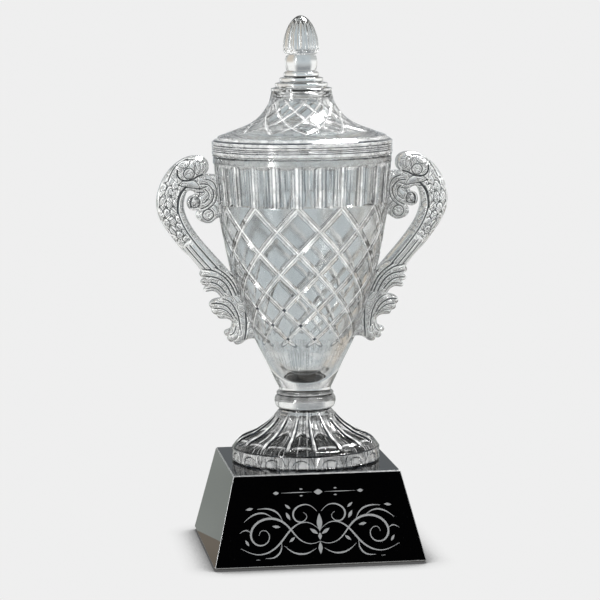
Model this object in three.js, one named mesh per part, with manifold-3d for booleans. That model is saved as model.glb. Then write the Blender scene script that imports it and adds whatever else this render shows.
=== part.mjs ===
// A crystal cup trophy: a lidded, two-handled cup of cut crystal on a fluted foot, bonded to a
// black glass block. Millimetres, +Z up, origin on the shelf under the middle of the block.
import * as THREE from 'three';
import { mergeVertices } from 'three/addons/utils/BufferGeometryUtils.js';
import Module from 'manifold-3d';

const wasm = await Module();
wasm.setup();

// ---- Driving dimensions -------------------------------------------------------------------

const BUMPER = { radius: 6, height: 1.5, inset: 16 };
const BLOCK = { bottomSide: 153.6, topSide: 122, top: 66.3, chamfer: 0.8 };

const FILM = 0.3;            // thickness of a flat film of adhesive
const CURVED_FILM = 0.4;     // thickness of a film between a handle and the cup
const FILM_GAP = 0.3;        // clearance on each side of a curved film

const FOOT = { rim: 54.8, rimTop: 76.3, top: 104.3, neck: 19.2, flutes: 16, fluteDepth: 1.6 };
const COLLAR = { bottom: 104.6, top: 117.6, radius: 22.7 };

const CUP_BOTTOM = 117.9;    // underside of the cup's stem
const CUP_RIM = 293.4;       // plane where the lid rests
const RIM_RADIUS = 66;
const MOUTH_RADIUS = 58.5;
const CAVITY_BOTTOM = 127;

const LATTICE = { columns: 12, top: 253, pitch: 0.27, rows: 7, depth: 1.8, turn: -10.9 };
const CUP_FLUTES = { bottom: 255, top: 281, depth: 1.3, radius: 64.6 };

const LID_RADIUS = 66.3;
const LID_TOP = 353.4;       // top of the lid's stepped boss
const SEAT_RING = { outer: 57.6, inner: 52.5, depth: 6.4 };
const LID_LATTICE = { top: 329, bottom: 307.5, rows: 3, depth: 1 };

const FINIAL = { bottom: 353.7, neck: 11.6, body: 13.3, shoulder: 369.5, top: 394 };
const FINIAL_RIBS = { count: 14, depth: 0.9, bottom: 367.5, top: 390 };

const HANDLE_DEPTH = 16;     // thickness of a handle, front to back
const HANDLE_MIDDLE = 230;   // height between a handle's two places on the cup

const ROUND = 48;            // sides of the cup and the lid: four for each lattice column
const SMALL_ROUND = 32;      // sides of the foot and the collar: two for each flute

// ---- Materials ----------------------------------------------------------------------------

const crystal = () => new THREE.MeshStandardMaterial({ color: 0xdfe6e8, roughness: 0.04, metalness: 0 });
const blackGlass = () => new THREE.MeshStandardMaterial({ color: 0x08090a, roughness: 0.05, metalness: 0 });
const adhesive = () => new THREE.MeshStandardMaterial({ color: 0xf1f4f4, roughness: 0.1, metalness: 0 });
const softPad = () => new THREE.MeshStandardMaterial({ color: 0xc9cccc, roughness: 0.5, metalness: 0 });

// ---- Shape helpers ------------------------------------------------------------------------

// Keeps only the positions and merges the vertices that coincide, so the mesh is closed.
function welded(geometry) {
  geometry.deleteAttribute('normal');
  geometry.deleteAttribute('uv');
  return mergeVertices(geometry, 1e-4);
}

// Turns an outline of [radius, height] pairs about the vertical axis. `shape(column, row)` gives
// how far a vertex moves towards the axis, and alternate cells are split along the other diagonal,
// so that the edges run both ways round a lattice.
function turned(outline, sides, { shape = null, turn = 0 } = {}) {
  const points = outline.map(([radius, height]) => new THREE.Vector2(radius, height));
  const geometry = new THREE.LatheGeometry(points, sides, THREE.MathUtils.degToRad(turn));
  if (shape) {
    moveTowardsAxis(geometry, points.length, sides, shape);
    alternateDiagonals(geometry, points.length, sides);
  }
  geometry.rotateX(Math.PI / 2);
  return welded(geometry);
}

function moveTowardsAxis(geometry, rows, sides, shape) {
  const position = geometry.attributes.position;
  for (let vertex = 0; vertex < position.count; vertex++) {
    const column = Math.floor(vertex / rows) % sides;
    const radius = Math.hypot(position.getX(vertex), position.getZ(vertex));
    const inward = shape(column, position.getY(vertex), vertex % rows);
    if (inward > 0 && radius > inward) {
      const scale = (radius - inward) / radius;
      position.setX(vertex, position.getX(vertex) * scale);
      position.setZ(vertex, position.getZ(vertex) * scale);
    }
  }
}

function alternateDiagonals(geometry, rows, sides) {
  const index = [];
  for (let column = 0; column < sides; column++) {
    for (let row = 0; row < rows - 1; row++) {
      const a = row + column * rows;
      const b = a + rows;
      const c = b + 1;
      const d = a + 1;
      index.push(...((column + row) % 2 ? [a, b, d, c, d, b] : [a, b, c, a, c, d]));
    }
  }
  geometry.setIndex(index);
}

// Points on a smooth curve through the given [radius, height] pairs.
function smooth(pairs, count) {
  const curve = new THREE.SplineCurve(pairs.map(([r, z]) => new THREE.Vector2(r, z)));
  return curve.getPoints(count).map((point) => [point.x, point.y]);
}

// The radius of an outline at a height, by straight lines between its points.
function radiusAt(outline, height) {
  for (let i = 1; i < outline.length; i++) {
    const [lowRadius, low] = outline[i - 1];
    const [highRadius, high] = outline[i];
    if (height >= low && height <= high) {
      return lowRadius + ((highRadius - lowRadius) * (height - low)) / (high - low);
    }
  }
  throw new Error(`no radius at height ${height}`);
}

function disc(radius, bottom, height, sides) {
  return turned([[0, bottom], [radius, bottom], [radius, bottom + height], [0, bottom + height]], sides);
}

// Manifold works on solids, three.js on geometries: these two convert one into the other.
function solid(geometry) {
  const vertProperties = new Float32Array(geometry.attributes.position.array);
  const triVerts = new Uint32Array(geometry.index.array);
  return new wasm.Manifold(new wasm.Mesh({ numProp: 3, vertProperties, triVerts }));
}

function geometryOf(body) {
  const mesh = body.getMesh();
  const geometry = new THREE.BufferGeometry();
  geometry.setAttribute('position', new THREE.BufferAttribute(mesh.vertProperties, 3));
  geometry.setIndex(new THREE.BufferAttribute(mesh.triVerts, 1));
  return geometry;
}

function piece(name, geometry, material) {
  const mesh = new THREE.Mesh(geometry, material);
  mesh.name = name;
  return mesh;
}

// ---- Base block and its bumpers -----------------------------------------------------------

function baseBlock() {
  const half = BLOCK.bottomSide / 2;
  const halfTop = BLOCK.topSide / 2;
  const edge = BLOCK.chamfer;
  const cornerRadius = (side) => side * Math.SQRT2;
  const outline = [
    [0, BUMPER.height],
    [cornerRadius(half - edge), BUMPER.height],
    [cornerRadius(half), BUMPER.height + edge],
    [cornerRadius(halfTop), BLOCK.top - edge],
    [cornerRadius(halfTop - edge), BLOCK.top],
    [0, BLOCK.top],
  ];
  return piece('base_block', turned(outline, 4, { turn: 45 }), blackGlass());
}

function bumpers() {
  const reach = BLOCK.bottomSide / 2 - BUMPER.inset;
  const corners = { front_left: [-1, -1], front_right: [1, -1], back_left: [-1, 1], back_right: [1, 1] };
  return Object.entries(corners).map(([corner, [x, y]]) => {
    const bumper = piece(`bumper_${corner}`, disc(BUMPER.radius, 0, BUMPER.height, 16), softPad());
    bumper.position.set(x * reach, y * reach, 0);
    return bumper;
  });
}

// ---- Foot and collar ----------------------------------------------------------------------

function footBond() {
  return piece('foot_bond', disc(FOOT.rim - 2.5, BLOCK.top, FILM, SMALL_ROUND), adhesive());
}

function pedestalFoot() {
  const bottom = BLOCK.top + FILM;
  const sweep = smooth([[52.5, 79], [44, 85], [33, 91], [23.5, 99], [FOOT.neck, FOOT.top]], 8);
  const outline = [[0, bottom], [FOOT.rim - 1, bottom], [FOOT.rim, bottom + 1], [FOOT.rim, FOOT.rimTop]];
  outline.push(...sweep, [0, FOOT.top]);
  const flute = (column, height) =>
    column % 2 && height > FOOT.rimTop && height < FOOT.top - 2 ? FOOT.fluteDepth : 0;
  return piece('pedestal_foot', turned(outline, SMALL_ROUND, { shape: flute }), crystal());
}

function collarBond(name, bottom) {
  return piece(name, disc(FOOT.neck - 0.7, bottom, FILM, SMALL_ROUND), adhesive());
}

function collar() {
  const belly = smooth([
    [19.7, COLLAR.bottom + 1],
    [COLLAR.radius, COLLAR.bottom + 6.5],
    [20.6, COLLAR.top - 2.4],
  ], 6);
  const outline = [[0, COLLAR.bottom], [FOOT.neck, COLLAR.bottom], ...belly];
  outline.push([19.9, COLLAR.top - 1.8], [20.6, COLLAR.top - 1.2]);
  outline.push([FOOT.neck + 0.6, COLLAR.top], [0, COLLAR.top]);
  return piece('collar', turned(outline, SMALL_ROUND), crystal());
}

// ---- Cup ----------------------------------------------------------------------------------

const CUP_CURVE = smooth([
  [19.5, 121], [23, 128], [28.3, 139.7], [36, 155], [44.5, 177], [53, 204], [58.5, 230], [62.5, 253.5],
], 48);

// Heights of the lattice's rows of crossings and the rows half way between them: the step down
// from each row is a constant share of the radius there, so the diamonds shrink with the cup.
function latticeHeights() {
  const heights = [LATTICE.top];
  for (let row = 0; row < LATTICE.rows; row++) {
    const height = heights[heights.length - 1];
    const next = height - LATTICE.pitch * radiusAt(CUP_CURVE, height);
    heights.push((height + next) / 2, next);
  }
  return heights.reverse();
}

const CUP_ROWS = latticeHeights();

const CUP_OUTER = [
  [19.2, CUP_BOTTOM],
  [19.5, 121],
  [23, 128],
  [28.3, 139.7],
  [radiusAt(CUP_CURVE, 147.5), 147.5],
  ...CUP_ROWS.map((height) => [radiusAt(CUP_CURVE, height), height]),
  [62.9, CUP_FLUTES.bottom],
  [CUP_FLUTES.radius, CUP_FLUTES.top - 4],
  [65, CUP_FLUTES.top],
  [RIM_RADIUS, 283.5],
  [RIM_RADIUS, CUP_RIM - 0.8],
];

function cup() {
  const inner = smooth([
    [0, CAVITY_BOTTOM], [13.5, 132.5], [22, 145.5], [30, 161], [37.5, 180], [45.5, 204], [51, 228],
    [54.5, 253.5], [57.4, 276], [MOUTH_RADIUS, CUP_RIM - 1],
  ], 13);
  const outline = [
    [0, CUP_BOTTOM],
    ...CUP_OUTER,
    [RIM_RADIUS - 0.8, CUP_RIM],
    [MOUTH_RADIUS + 1, CUP_RIM],
    ...inner.reverse(),
  ];
  const firstLatticeRow = 1 + CUP_OUTER.findIndex(([, height]) => height === CUP_ROWS[0]);
  const lastLatticeRow = firstLatticeRow + CUP_ROWS.length - 1;
  const shape = (column, height, row) => {
    if (row > CUP_OUTER.length) return 0;
    if (row > firstLatticeRow && row < lastLatticeRow) {
      const down = lastLatticeRow - row;
      const onGroove = (column + down) % 4 === 0 || (column - down) % 4 === 0;
      return onGroove ? LATTICE.depth : 0;
    }
    const inFlutes = height >= CUP_FLUTES.bottom && height < CUP_FLUTES.top;
    return inFlutes && column % 2 ? CUP_FLUTES.depth : 0;
  };
  return piece('cup', turned(outline, ROUND, { shape, turn: LATTICE.turn }), crystal());
}

const NO_CUTS = () => 0;

// The cup's outer skin grown by a distance, as a solid to cut or trim the handles with.
function grownCup(distance) {
  const outline = CUP_OUTER.map(([radius, height]) => [radius + distance, height]);
  const closed = [[0, CUP_BOTTOM], ...outline, [0, CUP_RIM - 0.8]];
  return solid(turned(closed, ROUND, { shape: NO_CUTS, turn: LATTICE.turn }));
}

// ---- Handles ------------------------------------------------------------------------------

// Outline of the right-hand handle in the X-Z plane. It runs on into the cup, whose grown skin
// trims it. Each stretch is a smooth curve, and the stretches meet at the notches of the leaves.
const HANDLE_STRETCHES = [
  // bridge and curl, then the outer sweep of the arm
  [[66, 279], [72, 279.5], [69.5, 285], [78, 293], [93, 287], [104, 274], [107.5, 258], [102, 241],
    [88, 222.5], [75.5, 208.5]],
  // upper leaf, with three tips
  [[75.5, 208.5], [76.8, 205.5], [74, 203]],
  [[74, 203], [76, 200], [72.5, 197]],
  [[72.5, 197], [73.5, 194.5], [67, 194], [62, 188.5]],
  // middle leaf
  [[62, 188.5], [69.5, 184], [66, 176], [54, 170.5]],
  // lower leaf and the fin that ends on the cup
  [[54, 170.5], [59, 163], [51, 154], [44, 156], [38, 157]],
  [[38, 157], [30, 160]],
  [[30, 160], [48, 209]],
  // inner side of the arm, up to the top of the finger gap
  [[48, 209], [56.5, 209]],
  [[56.5, 209], [67, 221.5], [81, 239], [87.8, 256], [84.5, 268], [80, 266]],
  // small lobe and the volute under the bridge
  [[80, 266], [85.3, 258.5], [80.5, 253.5], [76, 255]],
  [[76, 255], [77, 248.5], [71, 243.7], [65, 247], [60, 250]],
  [[60, 250], [60, 279]],
  [[60, 279], [66, 279]],
];

function handleBlank() {
  const outline = new THREE.Shape();
  outline.moveTo(...HANDLE_STRETCHES[0][0]);
  for (const stretch of HANDLE_STRETCHES) {
    const rest = stretch.slice(1).map(([x, z]) => new THREE.Vector2(x, z));
    if (rest.length === 1) outline.lineTo(rest[0].x, rest[0].y);
    else outline.splineThru(rest);
  }
  const geometry = new THREE.ExtrudeGeometry(outline, {
    depth: HANDLE_DEPTH,
    bevelEnabled: false,
    curveSegments: 2,
  });
  geometry.rotateX(Math.PI / 2);
  geometry.translate(0, HANDLE_DEPTH / 2, 0);
  return solid(welded(geometry));
}

// A block that reaches past the handle on every side, between two heights.
function slab(bottom, top) {
  const width = 4 * RIM_RADIUS;
  const geometry = new THREE.BoxGeometry(width, width, top - bottom);
  geometry.translate(0, 0, (top + bottom) / 2);
  return solid(welded(geometry));
}

function handlePieces(side, halfTurns) {
  const blank = handleBlank();
  const trimmed = blank.subtract(grownCup(2 * FILM_GAP + CURVED_FILM));
  const film = blank.intersect(grownCup(FILM_GAP + CURVED_FILM)).subtract(grownCup(FILM_GAP));
  const upper = film.intersect(slab(HANDLE_MIDDLE, CUP_RIM));
  const lower = film.intersect(slab(0, HANDLE_MIDDLE));
  const pieces = [
    piece(`handle_${side}`, geometryOf(trimmed), crystal()),
    piece(`handle_${side}_upper_bond`, geometryOf(upper), adhesive()),
    piece(`handle_${side}_lower_bond`, geometryOf(lower), adhesive()),
  ];
  const group = new THREE.Group();
  group.add(...pieces);
  group.rotation.z = halfTurns * Math.PI;
  return group;
}

// ---- Lid and finial -----------------------------------------------------------------------

const LID_CURVE = smooth([
  [61.5, 306.5], [50, 310.5], [40, 314.5], [33, 319], [27.5, 325], [24.1, 331], [22.3, 338],
], 36);

function lid() {
  const seatBottom = CUP_RIM - SEAT_RING.depth;
  const hollow = smooth([
    [SEAT_RING.inner, 294], [48, 303.5], [28.5, 313.7], [18, 327.5], [13.5, 335], [0, 341],
  ], 8);
  const flange = [
    [SEAT_RING.inner, seatBottom],
    [SEAT_RING.outer - 0.8, seatBottom],
    [SEAT_RING.outer, seatBottom + 0.8],
    [SEAT_RING.outer, CUP_RIM],
    [LID_RADIUS - 0.6, CUP_RIM],
    [LID_RADIUS, CUP_RIM + 0.8],
    [LID_RADIUS, 302.5],
    [61.5, 306.5],
  ];
  const step = (LID_LATTICE.top - LID_LATTICE.bottom) / (2 * LID_LATTICE.rows);
  const lattice = [];
  for (let row = 0; row <= 2 * LID_LATTICE.rows; row++) {
    const height = LID_LATTICE.bottom + row * step;
    lattice.push([radiusAt(LID_CURVE, height), height]);
  }
  const boss = [[22.3, 338]];
  for (const [radius, height] of [[22, 341], [19, 345], [15.5, 349], [12.5, LID_TOP]]) {
    boss.push([radius, boss[boss.length - 1][1] + 0.6], [radius, height]);
  }
  const outline = [...hollow.slice().reverse(), ...flange, ...lattice, ...boss, [0, LID_TOP]];
  const firstLatticeRow = hollow.length + flange.length;
  const shape = (column, height, row) => {
    const up = row - firstLatticeRow;
    if (up <= 0 || up >= lattice.length - 1) return 0;
    return (column + up) % 4 === 0 || (column - up) % 4 === 0 ? LID_LATTICE.depth : 0;
  };
  return piece('lid', turned(outline, ROUND, { shape, turn: LATTICE.turn }), crystal());
}

function finialBond() {
  return piece('finial_bond', disc(FINIAL.neck - 1, LID_TOP, FILM, SMALL_ROUND), adhesive());
}

// A short neck with a closed acorn above it, ribbed from its shoulder nearly to its tip.
function finial() {
  const neck = [
    [0, FINIAL.bottom], [10.6, FINIAL.bottom], [FINIAL.neck, 357], [FINIAL.neck, 361], [10, 365],
  ];
  const acorn = smooth([
    [12, 366.4], [FINIAL.body, FINIAL.shoulder], [12.4, 377.5], [9.5, 385], [5.5, 391], [0, FINIAL.top],
  ], 8);
  const rib = (column, height) =>
    column % 2 && height > FINIAL_RIBS.bottom && height < FINIAL_RIBS.top ? FINIAL_RIBS.depth : 0;
  const sides = 2 * FINIAL_RIBS.count;
  return piece('finial', turned([...neck, ...acorn], sides, { shape: rib }), crystal());
}

// ---- The trophy ---------------------------------------------------------------------------

const trophy = new THREE.Group();
trophy.add(baseBlock(), ...bumpers());
trophy.add(footBond(), pedestalFoot());
trophy.add(collarBond('collar_bond_lower', FOOT.top), collar(), collarBond('collar_bond_upper', COLLAR.top));
trophy.add(cup(), handlePieces('right', 0), handlePieces('left', 1));

const cover = new THREE.Group();
cover.add(lid(), finialBond(), finial());
trophy.add(cover);

export default trophy;
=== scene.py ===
"""A lidded, two-handled crystal cup trophy on a black glass block, round its CAD frame.

Shapes are worked out in millimetres and turned into metres when a mesh is built.
"""
import math

import bmesh
import bpy
import numpy as np
from mathutils import Matrix, Vector


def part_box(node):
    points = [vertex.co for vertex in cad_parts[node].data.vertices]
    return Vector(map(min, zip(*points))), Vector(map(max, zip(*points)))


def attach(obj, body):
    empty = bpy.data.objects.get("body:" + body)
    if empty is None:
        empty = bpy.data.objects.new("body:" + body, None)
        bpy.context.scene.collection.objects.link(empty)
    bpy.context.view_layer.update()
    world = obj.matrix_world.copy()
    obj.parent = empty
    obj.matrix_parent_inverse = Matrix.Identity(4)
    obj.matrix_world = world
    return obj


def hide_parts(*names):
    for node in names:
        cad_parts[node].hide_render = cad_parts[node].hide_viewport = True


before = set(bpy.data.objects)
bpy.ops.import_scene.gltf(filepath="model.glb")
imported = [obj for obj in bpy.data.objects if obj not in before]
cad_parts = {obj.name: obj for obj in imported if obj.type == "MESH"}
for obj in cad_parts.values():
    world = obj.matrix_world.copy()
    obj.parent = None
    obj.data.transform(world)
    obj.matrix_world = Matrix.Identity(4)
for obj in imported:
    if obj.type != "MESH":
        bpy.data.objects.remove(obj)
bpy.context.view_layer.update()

MM = 0.001
TAU = 2 * math.pi


# ---- Sizes in millimetres, from the frame where it holds them ----

def node_mm(node):
    """Lowest and highest corner of a CAD node."""
    return [np.array(corner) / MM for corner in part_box(node)]


BLOCK_LOW, BLOCK_HIGH = node_mm("base_block")
COLLAR_LOW, COLLAR_HIGH = node_mm("collar")
CUP_LOW, CUP_HIGH = node_mm("cup")
LID_LOW, LID_HIGH = node_mm("lid")
FOOT_HIGH = node_mm("pedestal_foot")[1]
FINIAL_LOW = node_mm("finial")[0]

BLOCK_BOTTOM_SIDE = BLOCK_HIGH[0] - BLOCK_LOW[0]
BLOCK_TOP_SIDE = 122.0
BLOCK_TOP = BLOCK_HIGH[2]
FOOT_RADIUS = FOOT_HIGH[1]
RIM_RADIUS = 66.0
CUP_RIM = CUP_HIGH[2]
MOUTH_RADIUS = 58.5
LATTICE_COLUMNS = 12
CUP_TURN = -101.2  # azimuth in degrees of one crossing in the top row of the cup's lattice
LID_TURN = -93.5  # the same on the lid
CUP_PITCH = 0.556  # height of a diamond as a share of the radius there
LID_PITCH = 0.515
FLUTES_IN_FOOT = 16
FINIAL_RIBS = 14
RIB_DEPTH = 0.085  # as a share of the radius there


# ---- Mesh building ----

# Marks at a point: how deep it lies in a cut, how ground it is, where a dark line of painted shade goes, and
# fine streaks up and down (pale ones satin, dark ones painted shade).
MARKS = ("groove", "satin", "seam", "streak")


def link(name, data):
    """A new object in the scene."""
    thing = bpy.data.objects.new(name, data)
    bpy.context.scene.collection.objects.link(thing)
    return thing


def ring_faces(n_rows, n):
    """Quads between rings of n points, the lowest ring first."""
    return [[row * n + i, row * n + (i + 1) % n, (row + 1) * n + (i + 1) % n, (row + 1) * n + i]
            for row in range(n_rows - 1) for i in range(n)]


class Shell:
    """Collects patches of faces and welds them into one mesh."""

    def __init__(self):
        self.points, self.marks = [], []
        self.faces, self.kinds = [], []  # a face's kind is its material slot
        self.count = 0

    def add(self, points, faces, kind=0, **marks):
        """Marks are one value for each point or one for all, and 0 where they are not given."""
        points = np.asarray(points, float).reshape(-1, 3)
        self.points.append(points)
        marks = [np.broadcast_to(np.ravel(marks.get(mark, 0.0)), (len(points),)) for mark in MARKS]
        self.marks.append(np.stack(marks, axis=-1))
        self.faces += [[i + self.count for i in face] for face in faces]
        self.kinds += [kind] * len(faces)
        self.count += len(points)

    def grid(self, rows, kind=0, **marks):
        """rows is an array (row, column, 3); each row runs anticlockwise seen from above, rows run upward."""
        rows = np.asarray(rows, float)
        marks = {mark: np.broadcast_to(value, rows.shape[:2]) for mark, value in marks.items()}
        self.add(rows, ring_faces(*rows.shape[:2]), kind, **marks)

    def cap(self, ring, up, kind=0):
        """Closes a ring with a fan to its middle."""
        n = len(ring)
        faces = [[i, (i + 1) % n, n] if up else [(i + 1) % n, i, n] for i in range(n)]
        self.add(np.vstack([ring, ring.mean(axis=0)]), faces, kind)

    def closed_grid(self, rows, **marks):
        """A grid that is capped at both ends."""
        self.grid(rows, **marks)
        self.cap(rows[0], up=False)
        self.cap(rows[-1], up=True)

    def build(self, name, sharp_degrees=18.0, weld=1e-4):
        points = np.vstack(self.points)
        keys = np.round(points / weld).astype(np.int64)
        _, first, inverse = np.unique(keys, axis=0, return_index=True, return_inverse=True)
        inverse = inverse.reshape(-1)
        faces, kinds = [], []
        for face, kind in zip(self.faces, self.kinds):
            ring = [int(inverse[i]) for i in face]
            ring = [j for j, after in zip(ring, ring[1:] + ring[:1]) if j != after]
            if len(set(ring)) >= 3:
                faces.append(ring)
                kinds.append(kind)
        mesh = bpy.data.meshes.new(name)
        mesh.from_pydata((points[first] * MM).tolist(), [], faces)
        mesh.polygons.foreach_set("material_index", kinds)
        marks = np.vstack(self.marks)[first].astype(np.float32)
        for mark, values in zip(MARKS, marks.T):
            mesh.attributes.new(mark, "FLOAT", "POINT").data.foreach_set("value", values.copy())
        mesh.validate()
        mesh.shade_smooth()
        mesh.set_sharp_from_angle(angle=math.radians(sharp_degrees))
        return link(name, mesh)


def on_ring(radius, height, angles):
    """Points on a horizontal ring; radius and height are numbers or one value for each angle."""
    radius = np.broadcast_to(radius, angles.shape)
    height = np.broadcast_to(height, angles.shape)
    return np.stack([radius * np.cos(angles), radius * np.sin(angles), height], axis=-1)


def lathe_rows(outline, angles):
    return np.stack([on_ring(radius, height, angles) for radius, height in outline])


def path_length(line):
    """How far along a line each of its points lies."""
    return np.concatenate([[0], np.cumsum(np.hypot(*np.diff(line, axis=0).T))])


def unit_tangents(line):
    tangent = np.gradient(line, axis=0)
    return tangent / np.hypot(*tangent.T)[:, None]


def curve_through(points, step=0.5):
    """A smooth curve through the points, sampled evenly: an array (n, 2)."""
    p = np.asarray(points, float)
    chord = np.hypot(*np.diff(p, axis=0).T)
    knots = np.concatenate([[0], np.cumsum(np.sqrt(chord))])
    fine = np.linspace(0, knots[-1], max(len(p) * 24, 60))
    dense = np.stack([natural_spline(knots, p[:, k], fine) for k in range(2)], axis=-1)
    length = path_length(dense)
    wanted = np.linspace(0, length[-1], max(2, int(round(length[-1] / step)) + 1))
    return np.stack([np.interp(wanted, length, dense[:, k]) for k in range(2)], axis=-1)


def natural_spline(knots, values, at):
    """Cubic spline with free ends."""
    n = len(knots)
    if n < 3:
        return np.interp(at, knots, values)
    h = np.diff(knots)
    system = np.eye(n)
    right = np.zeros(n)
    for i in range(1, n - 1):
        system[i, i - 1:i + 2] = h[i - 1], 2 * (h[i - 1] + h[i]), h[i]
        right[i] = 6 * ((values[i + 1] - values[i]) / h[i] - (values[i] - values[i - 1]) / h[i - 1])
    bend = np.linalg.solve(system, right)
    i = np.clip(np.searchsorted(knots, at) - 1, 0, n - 2)
    a = (knots[i + 1] - at) / h[i]
    b = (at - knots[i]) / h[i]
    return (a * values[i] + b * values[i + 1]
            + ((a ** 3 - a) * bend[i] + (b ** 3 - b) * bend[i + 1]) * h[i] ** 2 / 6)


def smoothstep(low, high, value):
    t = np.clip((value - low) / (high - low), 0, 1)
    return t * t * (3 - 2 * t)


# ---- The diamond lattice ----

GROOVE = 0.125  # half width of a groove, as a share of a diamond
HALF_STEPS = np.concatenate([[0, GROOVE], np.linspace(GROOVE, 0.5, 8)[1:]])
STEPS = np.concatenate([HALF_STEPS, 1 - HALF_STEPS[-2::-1]])  # 0 to 1 across one diamond
COLUMN_U = np.concatenate([j + STEPS[:-1] for j in range(LATTICE_COLUMNS)])
CUP_ANGLES = math.radians(CUP_TURN) + COLUMN_U * TAU / LATTICE_COLUMNS
LID_ANGLES = math.radians(LID_TURN) + COLUMN_U * TAU / LATTICE_COLUMNS


class Profile:
    """An outline [radius, height], running downward, addressed by v, in which one diamond is 1 long."""

    def __init__(self, outline, start_height, pitch):
        self.outline = outline
        step = np.hypot(*np.diff(outline, axis=0).T)
        middle_radius = (outline[1:, 0] + outline[:-1, 0]) / 2
        v = np.concatenate([[0], np.cumsum(step / (pitch * middle_radius))])
        self.v = v - np.interp(-start_height, -outline[:, 1], v)
        tangent = unit_tangents(outline)
        self.normal = np.stack([-tangent[:, 1], tangent[:, 0]], axis=-1)  # outward

    def at(self, v, inward=0.0):
        """Radius and height at v, moved inward from the surface."""
        place = np.stack([np.interp(v, self.v, self.outline[:, k]) for k in range(2)], axis=-1)
        out = np.stack([np.interp(v, self.v, self.normal[:, k]) for k in range(2)], axis=-1)
        moved = place - out * np.asarray(inward)[..., None]
        return moved[..., 0], moved[..., 1]

    def plain(self, first, last, count):
        """Points [radius, height] of the uncut outline between two values of v."""
        return np.stack(self.at(np.linspace(first, last, count)), axis=-1)


def groove_depth(p, q):
    """0 on a diamond, 1 along the bottom of a groove."""
    from_line = np.minimum(np.abs(p - np.round(p)), np.abs(q - np.round(q)))
    return np.clip(1 - from_line / GROOVE, 0, 1)


def painted_shade_spots(u, v):
    """Spots of painted shade at some low crossings of the cup's lattice, above 1 so that it reaches a little
    way out.
    """
    column, row = np.round(2 * u) % (2 * LATTICE_COLUMNS), np.round(2 * v)
    at_crossing = np.isclose(2 * u, np.round(2 * u)) & np.isclose(2 * v, row) & ((column + row) % 2 == 0)
    return at_crossing * (row > 4) * (row < LATTICE_END) * ((column * 5 + row * 3) % 8 < 4) * 1.8


def lattice_faces(row, first, last):
    """Faces of one diamond; the diamonds of the first and last rows are cut in half across the middle."""
    n = len(STEPS) - 1
    faces = []
    for i in range(n):
        for m in range(n):
            a, b = i * (n + 1) + m, (i + 1) * (n + 1) + m
            c, d = b + 1, a + 1
            keep_lower = (row > first or i >= m) and (row < last or i < m)
            keep_upper = (row > first or i > m) and (row < last or i <= m)
            crossing = i in (0, n - 1) and m in (0, n - 1)
            if keep_lower and keep_upper and not crossing:
                faces.append([a, b, c, d])
            elif keep_lower and keep_upper and (i == 0) != (m == 0):
                faces += [[a, b, d], [b, c, d]]
            else:
                faces += [[a, b, c]] * keep_lower + [[a, c, d]] * keep_upper
    return faces


def add_lattice(shell, profile, turn, depth, first, last, fade):
    """Diamonds with V grooves between them from v = first / 2 down to v = last / 2.

    depth(v) is the depth of a full groove, and fade(v) the share of it that is cut.
    """
    p_steps, q_steps = np.meshgrid(STEPS, STEPS, indexing="ij")
    for row in range(first, last + 1):
        faces = lattice_faces(row, first, last)
        for column in range(LATTICE_COLUMNS):
            p, q = column + row + p_steps, column + q_steps
            u, v = (p + q) / 2, (p - q) / 2
            cut = fade(v) * groove_depth(p, q)
            radius, height = profile.at(v, depth(v) * cut)
            points = on_ring(radius, height, math.radians(turn) + u * TAU / LATTICE_COLUMNS)
            # The crystal's material paints shade along the edges of each groove and at the spots marked here.
            shell.add(points, faces, groove=cut, satin=0.15 * smoothstep(1.0, 3.5, v), seam=painted_shade_spots(u, v))


# ---- Cup ----

CUP_SIDE = curve_through([
    (63.0, 257.2), (62.4, 252), (58.5, 230), (53, 204), (44.5, 177), (36, 155), (28.3, 139.7), (23, 128),
    (19.5, 121),
], 0.4)
CUP_INSIDE = curve_through([
    (MOUTH_RADIUS, 292), (57.4, 276), (54.5, 253.5), (51, 228), (45.5, 204), (37.5, 180), (30, 161),
    (22, 145.5), (15.5, 135), (8, 128.6), (0, 127),
], 3.0)[:-1]
LATTICE_TOP = 257.0
LATTICE_END = 8  # where plain glass starts, in half diamonds
FLUTE_DEPTH = 1.3
LEDGE_RADIUS, LEDGE_HEIGHT, LEDGE_LEAN = 62.9, 257.6, 0.9
FLARE_RADIUS, FLARE_HEIGHT, FLARE_LEAN = 64.3, 285.0, 0.55
LIP_LINE = 291.8


def flute_wall(z):
    return 63.0 + (z - LEDGE_HEIGHT) * 0.078


def cup_flutes(shell, top_ring):
    """Two hollow flutes over each column of diamonds, between a low ledge and the flare under the rim."""
    angles = CUP_ANGLES
    share = (2 * COLUMN_U) % 1
    hollow = FLUTE_DEPTH * (1 - (2 * share - 1) ** 2)
    low = LEDGE_HEIGHT + np.clip(LEDGE_RADIUS - (flute_wall(LEDGE_HEIGHT) - hollow), 0, None) / LEDGE_LEAN
    high = FLARE_HEIGHT + (flute_wall(FLARE_HEIGHT) - hollow - FLARE_RADIUS) / FLARE_LEAN
    rows = [top_ring, on_ring(LEDGE_RADIUS, LEDGE_HEIGHT, angles)]
    for t in np.linspace(0, 1, 9):
        z = low + (high - low) * t
        rows.append(on_ring(flute_wall(z) - hollow, z, angles))
    # The ridges are marked like the bottom of a cut: the crystal's material frosts them white and paints a
    # dark line of shade beside each. The dark streaks here are painted shade too.
    ridge = np.zeros((len(rows), len(angles)))
    ridge[2:] = np.clip(1 - 4 * np.minimum(share, 1 - share), 0, 1)
    shell.grid(np.stack(rows), groove=ridge, streak=1.0)
    lip = FLARE_HEIGHT + (RIM_RADIUS - 0.4 - FLARE_RADIUS) / FLARE_LEAN
    return [rows[-1], on_ring(RIM_RADIUS - 0.4, lip, angles)]


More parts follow.
